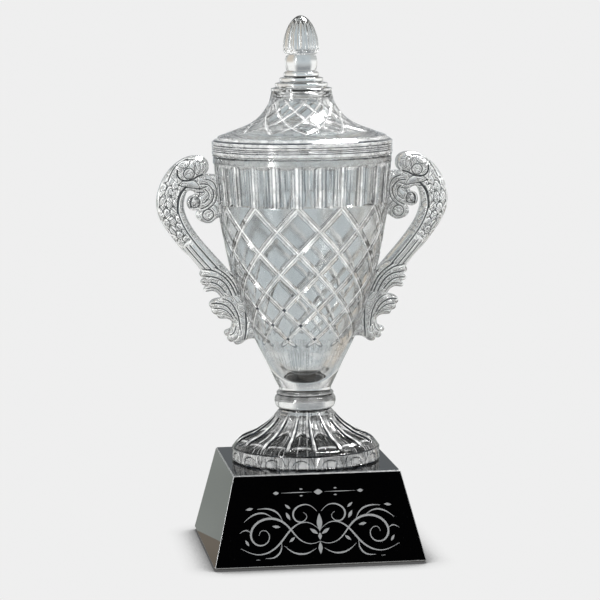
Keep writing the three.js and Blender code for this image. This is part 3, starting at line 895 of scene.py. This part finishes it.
class Traced:
    """The squares of a grid where domain is above 0, cut along its edge; other grids are carried along."""

    def __init__(self, x, z, domain, *carried):
        self.grids = (x, z, *carried)
        self.domain = domain
        self.points = []  # one value of each grid
        self.known = {}
        self.polygons, self.borders = [], []
        solid = domain > 0
        for i in range(solid.shape[0] - 1):
            for k in range(solid.shape[1] - 1):
                corners = [(i, k), (i + 1, k), (i + 1, k + 1), (i, k + 1)]
                if any(solid[c] for c in corners):
                    self.cut_square(solid, corners)

    def point(self, key, values):
        """Number of the point of that name, made if it is new."""
        if key not in self.known:
            self.known[key] = len(self.points)
            self.points.append(tuple(values()))
        return self.known[key]

    def corner(self, a):
        return self.point(a, lambda: (grid[a] for grid in self.grids))

    def crossing(self, a, b):
        a, b = min(a, b), max(a, b)
        t = self.domain[a] / (self.domain[a] - self.domain[b])
        return self.point((a, b), lambda: (grid[a] + t * (grid[b] - grid[a]) for grid in self.grids))

    def cut_square(self, solid, corners):
        ring, on_edge = [], []
        for here, there in zip(corners, corners[1:] + corners[:1]):
            if solid[here]:
                ring.append(self.corner(here))
                on_edge.append(False)
            if solid[here] != solid[there]:
                ring.append(self.crossing(here, there))
                on_edge.append(True)
        self.polygons.append(ring)
        for m in range(len(ring)):
            after = (m + 1) % len(ring)
            if on_edge[m] and on_edge[after]:
                self.borders.append((ring[m], ring[after]))

    def columns(self):
        return np.array(self.points).T


def handle_outline():
    """The stretches joined into one closed outline."""
    start = HANDLE_STRETCHES[-1][-1]
    lines = []
    for stretch in HANDLE_STRETCHES:
        lines.append(curve_through([start, *stretch], 0.6)[:-1])
        start = stretch[-1]
    return np.vstack(lines)


def handle_shell(outline):
    """Front and back relief over the part of the outline that is outside the cup, with a wall all round."""
    gx, gz = relief_grid(outline)
    closed = np.vstack([outline, outline[:1]])
    free = distance_to(closed, gx, gz)[0] * np.where(inside(outline, gx, gz), 1, -1)
    domain = np.minimum(free, gx - cup_radius(gz) - BOND_GAP)
    traced = Traced(gx, gz, domain, *handle_height(gx, gz, np.maximum(free, 0)))
    x, z, half, depth = traced.columns()
    cup_at = cup_radius(z) + BOND_GAP
    hug = np.clip(1 - (x - cup_at) / HUG_WIDTH, 0, 1)

    def placed(chosen, share):
        """Points at a share of their half thickness, drawn back to follow the round side of the cup."""
        y = half[chosen] * share
        sunk = cup_at[chosen] - np.sqrt(cup_at[chosen] ** 2 - y ** 2)
        return np.stack([x[chosen] - hug[chosen] * sunk, y, z[chosen]], axis=-1)

    shell = Shell()
    every = np.arange(len(x))
    # depth carries the painted shade to the material.
    shell.add(placed(every, -1.0), traced.polygons, groove=depth)
    shell.add(placed(every, 1.0), [ring[::-1] for ring in traced.polygons], groove=depth)
    shares = np.linspace(-1, 1, 9)
    faces = [[2 * m + 1, 2 * m, 2 * m + 2, 2 * m + 3] for m in range(len(shares) - 1)]
    for border in traced.borders:
        pair = np.array(border)
        wall = np.array([placed(pair, share) for share in shares])
        shell.add(wall, faces, groove=np.tile(depth[pair], len(shares)))
    return shell


def make_handles():
    right = handle_shell(handle_outline()).build("handle_right_crystal", sharp_degrees=48, weld=2e-3)
    left = bpy.data.objects.new("handle_left_crystal", right.data.copy())
    left.data.transform(Matrix.Rotation(math.pi, 4, "Z"))
    bpy.context.scene.collection.objects.link(left)
    return right, left


# ---- Materials ----

class Nodes:
    """Shorthand for filling in the node tree of a material or the world."""

    def __init__(self, owner):
        owner.use_nodes = True
        self.owner = owner
        self.nodes, self.links = owner.node_tree.nodes, owner.node_tree.links

    def put(self, socket, value):
        """value is a number, a colour or the output of another node."""
        if isinstance(value, bpy.types.NodeSocket):
            self.links.new(value, socket)
        else:
            socket.default_value = (*value, 1) if isinstance(value, tuple) else value

    def node(self, kind, output, inputs=(), **settings):
        """One output of a new node."""
        node = self.nodes.new("ShaderNode" + kind)
        for name, value in settings.items():
            setattr(node, name, value)
        for name, value in dict(inputs).items():
            self.put(node.inputs[name], value)
        return node.outputs[output]

    def math(self, operation, *values):
        return self.node("Math", "Value", dict(enumerate(values)), operation=operation)

    def times(self, first, second):
        return self.math("MULTIPLY", first, second)

    def most(self, first, *others):
        for other in others:
            first = self.math("MAXIMUM", first, other)
        return first

    def step(self, value, low, high, to_low=0.0, to_high=1.0):
        inputs = {"Value": value, "From Min": low, "From Max": high, "To Min": to_low, "To Max": to_high}
        return self.node("MapRange", "Result", inputs, interpolation_type="SMOOTHSTEP")

    def blend(self, factor, first, second):
        return self.node("Mix", "Result", {"Factor": factor, "A": first, "B": second}, data_type="RGBA")

    def attribute(self, name):
        return self.node("Attribute", "Fac", attribute_name=name)

    def place(self):
        return self.node("TexCoord", "Object")

    def axes(self, vector):
        """The X, Y and Z outputs of a vector."""
        return self.node("SeparateXYZ", "X", {0: vector}).node.outputs

    def noise(self, scale, detail, place=None):
        """Soft noise, about 0.25 to 0.75."""
        inputs = {"Scale": scale, "Detail": detail, "Vector": place or self.place()}
        return self.node("TexNoise", "Fac", inputs)

    def cells(self, scale):
        """Distance from the middle of scattered cells."""
        return self.node("TexVoronoi", "Distance", {"Scale": scale, "Vector": self.place()})

    def streaks(self, around, along):
        """Noise drawn out into lines that run up and down the turned pieces."""
        x, y, z = self.axes(self.place())
        inputs = {"X": self.times(self.math("ARCTAN2", y, x), around), "Y": self.times(z, along)}
        return self.noise(1.0, 1.0, self.node("CombineXYZ", "Vector", inputs))

    def bump(self, height, strength, distance):
        return self.node("Bump", "Normal", {"Height": height, "Strength": strength, "Distance": distance})

    def swell(self, strength):
        """The slight waviness of every glass surface here."""
        return self.bump(self.noise(140, 2), strength, 0.0006)

    def principled(self, inputs):
        """Fills in the material's Principled shader; returns the material."""
        for name, value in inputs.items():
            self.put(self.nodes["Principled BSDF"].inputs[name], value)
        return self.owner

    def glow(self, colour):
        """Makes the material a plain emitter; returns the material."""
        emission = self.node("Emission", "Emission", {"Color": colour})
        self.put(self.nodes["Material Output"].inputs["Surface"], emission)
        return self.owner


def new_material(name):
    return Nodes(bpy.data.materials.new(name))


def crystal_material():
    """Cut crystal: satin on the cut facets, white along the bottom of each cut, with painted shade: thin dark
    edges, marked dark lines and dark streaks.
    """
    tree = new_material("cut_crystal")
    groove, streak, streaks = tree.attribute("groove"), tree.attribute("streak"), tree.streaks(42, 26)
    bottom = tree.step(groove, 0.76, 0.90)
    facet = tree.times(tree.step(groove, 0.0, 0.25), 0.38)
    pale = tree.times(tree.step(streaks, 0.36, 0.43, 0.6, 0.0), streak)
    # Dark streaks of painted shade.
    dark = tree.times(tree.step(streaks, 0.57, 0.63, 0.0, 0.7), streak)
    satin = tree.most(tree.attribute("satin"), facet, bottom, pale)
    satin_share = tree.times(satin, tree.step(tree.noise(150, 3), 0.35, 0.65, 0.35, 0.95))
    # Painted shade: a dark band partway down each cut, a thin dark edge along it, the marked dark lines and
    # the dark streaks.
    beside = tree.times(tree.step(groove, 0.48, 0.62), tree.step(groove, 0.66, 0.76, 0.55, 0.0))
    outline = tree.times(tree.step(groove, 0.0, 0.06), tree.step(groove, 0.12, 0.26, 0.75, 0.0))
    line = tree.most(beside, outline, tree.step(tree.attribute("seam"), 0.5, 0.95), dark)
    return tree.principled({
        "Base Color": tree.blend(line, (0.985, 0.99, 0.99), (0.03, 0.038, 0.055)),
        "Roughness": tree.times(satin, 0.05),
        "Transmission Weight": tree.math("SUBTRACT", 1.0, satin_share),
        "IOR": 1.53,
        "Normal": tree.swell(0.05),
    })


def unpolished_crystal_material():
    """The inside of the cup and lid: the same crystal, not polished, so what lies behind it is soft."""
    tree = new_material("unpolished_crystal")
    cloud, (_, _, height) = tree.noise(38, 3), tree.axes(tree.place())
    soft = tree.times(tree.step(height, 0.190, 0.245, 0.15, 1.0), tree.step(height, 0.288, 0.300, 1.0, 0.35))
    return tree.principled({
        "Base Color": tree.blend(cloud, (0.97, 0.985, 0.99), (0.99, 0.985, 0.975)),
        "Roughness": tree.times(tree.step(cloud, 0.3, 0.7, 0.12, 0.20), soft),
        "Transmission Weight": 1.0,
        "IOR": 1.53,
        "Normal": tree.swell(0.10),
    })


def cast_crystal_material():
    """Pressed crystal of the handles: satin shoulders on the relief, painted shade along the bottom of its
    cuts and between its scales.
    """
    tree = new_material("cast_crystal")
    groove, cloud = tree.attribute("groove"), tree.noise(120, 3)
    body = tree.blend(cloud, (0.94, 0.955, 0.96), (1.0, 1.0, 0.995))
    shoulder = tree.times(tree.step(groove, 0.0, 0.08), tree.step(groove, 0.45, 0.70, 1.0, 0.0))
    clear = tree.math("SUBTRACT", tree.step(cloud, 0.35, 0.65, 0.90, 0.78), tree.times(shoulder, 0.55))
    return tree.principled({
        # Painted shade: the base colour turns nearly black at the deepest groove marks.
        "Base Color": tree.blend(tree.step(groove, 0.70, 1.0), body, (0.035, 0.04, 0.045)),
        "Roughness": tree.step(cloud, 0.3, 0.7, 0.03, 0.09),
        "Transmission Weight": clear,
        "Coat Weight": 1.0,
        "Coat Roughness": 0.02,
        "IOR": 1.5,
        "Normal": tree.swell(0.10),
    })


def adhesive_material():
    """Clear resin with faint haze and pinhole bubbles."""
    tree = new_material("clear_adhesive")
    bubbles = tree.step(tree.cells(900), 0.12, 0.2)
    return tree.principled({
        "Base Color": tree.blend(bubbles, (0.72, 0.74, 0.74), (0.97, 0.98, 0.97)),
        "Roughness": tree.step(bubbles, 0.0, 1.0, 0.4, 0.08),
        "Transmission Weight": 1.0,
        "IOR": 1.48,
        "Normal": tree.swell(0.2),
    })


def pad_material():
    """Clear soft bumpers, slightly scuffed."""
    tree = new_material("bumper_plastic")
    scuff = tree.noise(700, 4)
    return tree.principled({
        "Base Color": tree.blend(scuff, (0.62, 0.63, 0.62), (0.86, 0.87, 0.86)),
        "Roughness": tree.step(scuff, 0.3, 0.7, 0.2, 0.5),
        "Transmission Weight": 0.6,
        "IOR": 1.45,
        "Normal": tree.swell(0.3),
    })


def black_glass_material():
    """Polished black glass with faint polishing haze and a few specks of dust."""
    tree = new_material("black_glass")
    dust = tree.step(tree.cells(420), 0.05, 0.09, 1.0, 0.0)
    return tree.principled({
        "Base Color": tree.blend(dust, (0.0006, 0.0006, 0.0007), (0.012, 0.012, 0.013)),
        "Roughness": tree.step(tree.noise(30, 5), 0.35, 0.8, 0.02, 0.07),
        "IOR": 1.52,
    })


def ground_edge_material():
    """The narrow ground bevel along the block's edges, its grey lightened into a painted highlight."""
    tree = new_material("ground_edge_and_highlight")
    grain = tree.noise(600, 3)
    return tree.principled({
        "Base Color": tree.blend(grain, (0.13, 0.135, 0.14), (0.26, 0.26, 0.26)),
        "Roughness": tree.step(grain, 0.3, 0.7, 0.18, 0.38),
        "IOR": 1.6,
    })


def frosted_material():
    """Etched grey of the engraving, finely grained."""
    tree = new_material("frosted_engraving")
    grain = tree.noise(2400, 3)
    return tree.principled({
        "Base Color": tree.blend(grain, (0.15, 0.155, 0.16), (0.29, 0.295, 0.30)),
        "Roughness": tree.step(grain, 0.3, 0.7, 0.45, 0.75),
        "Normal": tree.bump(grain, 0.4, 0.00005),
    })


def dress(thing, materials, body, slot, *replaced):
    for material in materials:
        thing.data.materials.append(material)
    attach(thing, body)
    if replaced:
        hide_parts(*replaced)


# ---- Stage: floor, surroundings, lights and camera, in metres ----

CAMERA_PLACE = (-0.25607, -1.89290, 0.41099)
CAMERA_FORWARD = (0.131642, 0.984300, -0.117574)
CAMERA_ROLL = -0.687  # degrees
LENS, SENSOR = 156.26, 36  # millimetres


def make_camera():
    """1.9 m away, a little to the left of the front and just above the finial, looking slightly down."""
    camera = link("camera", bpy.data.cameras.new("camera"))
    camera.location = CAMERA_PLACE
    forward = Vector(CAMERA_FORWARD).normalized()
    side = forward.cross(Vector((0, 0, 1))).normalized()
    up = side.cross(forward)
    roll = math.radians(CAMERA_ROLL)
    right = side * math.cos(roll) + up * math.sin(roll)
    top = up * math.cos(roll) - side * math.sin(roll)
    camera.rotation_mode = "QUATERNION"
    camera.rotation_quaternion = Matrix((right, top, -forward)).transposed().to_quaternion()
    camera.data.sensor_width = SENSOR
    camera.data.lens = LENS
    bpy.context.scene.camera = camera


# Panels of the studio as the crystal sees them: azimuth from the far side towards the right, elevation,
# half sizes and soft edge in degrees, colour. Later panels cover earlier ones.
STUDIO_PANELS = {
    "ceiling": (0, 66, 400, 34, 6, (0.42, 0.43, 0.43)),
    "paper floor": (0, -30, 400, 24, 5, (0.47, 0.49, 0.485)),
    "table": (0, -70, 400, 26, 6, (0.50, 0.465, 0.41)),
    "left flag": (-64, 0, 3, 36, 3, (0.20, 0.20, 0.205)),
    "right flag": (62, 0, 3, 36, 3, (0.20, 0.20, 0.205)),
    "brown right": (44, -20, 16, 18, 6, (0.56, 0.505, 0.43)),
    "low backdrop": (0, -10, 20, 16, 8, (0.455, 0.505, 0.53)),
    "high backdrop": (0, 16, 22, 12, 7, (0.27, 0.29, 0.305)),
    "overhead lamp": (68, 64, 34, 15, 3, (6.0, 6.0, 5.9)),
    "front lamp": (-133, 12, 6, 24, 2, (6.0, 6.0, 5.9)),
    "camera card": (172, 20, 15, 11, 4, (0.0, 0.0, 0.0)),
}
STUDIO_WALLS = (0.94, 0.945, 0.93)


def make_world():
    """The studio around the crystal, painted on the sky by direction."""
    world = bpy.data.worlds.new("studio")
    bpy.context.scene.world = world
    tree = Nodes(world)
    x, y, z = tree.axes(tree.node("TexCoord", "Generated"))
    azimuth = tree.times(tree.math("ARCTAN2", x, y), 180 / math.pi)
    elevation = tree.times(tree.math("ARCSINE", z), 180 / math.pi)
    colour = STUDIO_WALLS
    for around, up, half_width, half_height, soft, shade in STUDIO_PANELS.values():
        beside = tree.math("ABSOLUTE", tree.math("WRAP", tree.math("SUBTRACT", azimuth, around), 180, -180))
        above = tree.math("ABSOLUTE", tree.math("SUBTRACT", elevation, up))
        wide = tree.step(beside, half_width - soft, half_width + soft, 1.0, 0.0)
        tall = tree.step(above, half_height - soft, half_height + soft, 1.0, 0.0)
        colour = tree.blend(tree.times(wide, tall), colour, shade)
    tree.put(tree.nodes["Background"].inputs["Color"], colour)


def plain_object(name, vertices, faces, material):
    mesh = bpy.data.meshes.new(name)
    mesh.from_pydata(vertices, [], faces)
    mesh.materials.append(material)
    return link(name, mesh)


def hide_from(thing, *rays):
    for ray in rays:
        setattr(thing, "visible_" + ray, False)


def make_sweep():
    """A pale floor that curves up into a wall, glowing evenly, with a painted contact shadow. Only the camera
    sees it: the crystal sees the studio.
    """
    angles = np.linspace(0, TAU, 96, endpoint=False)
    start, radius, top = 3.0, 1.5, 6.0
    quarter = np.linspace(0, math.pi / 2, 12)
    bend = np.stack([start + radius * np.sin(quarter), radius - radius * np.cos(quarter)], axis=-1)
    outline = [(0.9, 0.0), (2.0, 0.0), *bend, (start + radius, top)]
    vertices = lathe_rows(outline, angles).reshape(-1, 3).tolist() + [(0, 0, 0)]
    n = len(angles)
    faces = ring_faces(len(outline), n) + [[i, (i + 1) % n, len(vertices) - 1] for i in range(n)]
    tree = new_material("pale_sweep")
    # Painted contact shadow: the glow falls to dark grey where ambient occlusion finds the block close by.
    open_sky = tree.node("AmbientOcclusion", "AO", {"Distance": 0.024}, samples=8)
    shade = tree.blend(tree.step(open_sky, 0.5, 1.0), (0.10, 0.10, 0.10), (0.862, 0.862, 0.862))
    sweep = plain_object("sweep", vertices, faces, tree.glow(shade))
    hide_from(sweep, "diffuse", "glossy", "transmission", "shadow")


def make_card(name, corners, darkest, lightest):
    """A card that shows only as a reflection."""
    tree = new_material(name)
    material = tree.glow(tree.blend(tree.noise(9, 3), darkest, lightest))
    card = plain_object(name, corners, [[0, 1, 2, 3]], material)
    hide_from(card, "camera", "diffuse", "shadow", "transmission")


def make_cards():
    """The brown table top, which ends a little behind the block, and grey card beyond it."""
    side, front, back = 0.9, -0.9, 0.078
    table = [(-side, front, 0.0), (side, front, 0.0), (side, back, 0.0), (-side, back, 0.0)]
    make_card("table_card", table, (0.25, 0.215, 0.175), (0.33, 0.29, 0.24))
    far, low, high = 1.0, -0.5, 0.2
    beyond = [(-side, far, low), (side, far, low), (side, far, high), (-side, far, high)]
    make_card("grey_card", beyond, (0.33, 0.36, 0.335), (0.52, 0.55, 0.52))


LAMP_TARGET = (0, 0, 0.25)
LAMP_DISTANCE = 1.5


def soft_box(name, azimuth, elevation, size, radiance, unseen_by):
    """A rectangular lamp facing the cup, at the world's angles; unseen_by names the rays that miss it."""
    around, up = math.radians(azimuth), math.radians(elevation)
    away = Vector((math.sin(around) * math.cos(up), math.cos(around) * math.cos(up), math.sin(up)))
    lamp = bpy.data.lights.new(name, "AREA")
    lamp.shape = "RECTANGLE"
    lamp.size, lamp.size_y = size
    lamp.energy = radiance * math.pi * size[0] * size[1]
    thing = link(name, lamp)
    thing.location = Vector(LAMP_TARGET) + away * LAMP_DISTANCE
    thing.rotation_euler = (-away).to_track_quat("-Z", "Y").to_euler()
    hide_from(thing, "camera", "transmission", unseen_by)


def make_lamps():
    """Two lamps show as highlights; three wash over the satin parts of the glass."""
    soft_box("overhead_box", 68.6, 66, (0.9, 0.72), 34, "diffuse")
    soft_box("tall_box", -133, 12, (0.16, 0.9), 14, "diffuse")
    soft_box("left_wash", -140, 42, (0.6, 0.6), 10, "glossy")
    soft_box("right_wash", 130, 30, (0.6, 0.6), 9, "glossy")
    soft_box("back_wash", 10, 40, (0.8, 0.6), 7, "glossy")


# ---- Assembly ----

crystal, unpolished, cast = crystal_material(), unpolished_crystal_material(), cast_crystal_material()
dress(make_cup(), [crystal, unpolished], "root", "crystal", "cup")
dress(make_foot(), [crystal], "root", "crystal", "pedestal_foot")
dress(make_collar(), [crystal], "root", "crystal", "collar")
dress(make_lid(), [crystal, unpolished], "lid", "crystal", "lid")
dress(make_finial(), [crystal], "lid", "crystal", "finial")
handle_right, handle_left = make_handles()
dress(handle_right, [cast], "root", "crystal",
      "handle_right", "handle_right_upper_bond", "handle_right_lower_bond")
dress(handle_left, [cast], "root", "crystal",
      "handle_left", "handle_left_upper_bond", "handle_left_lower_bond")
dress(make_block(), [black_glass_material(), ground_edge_material()], "root", "black_glass", "base_block")
dress(make_engraving(), [frosted_material()], "root", "black_glass")
adhesive, pad = adhesive_material(), pad_material()
for name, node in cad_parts.items():
    node.data.materials.clear()
    node.data.materials.append(pad if name.startswith("bumper") else adhesive)
make_camera()
make_world()
make_sweep()
make_cards()
make_lamps()
bpy.context.scene.view_settings.view_transform = "Standard"
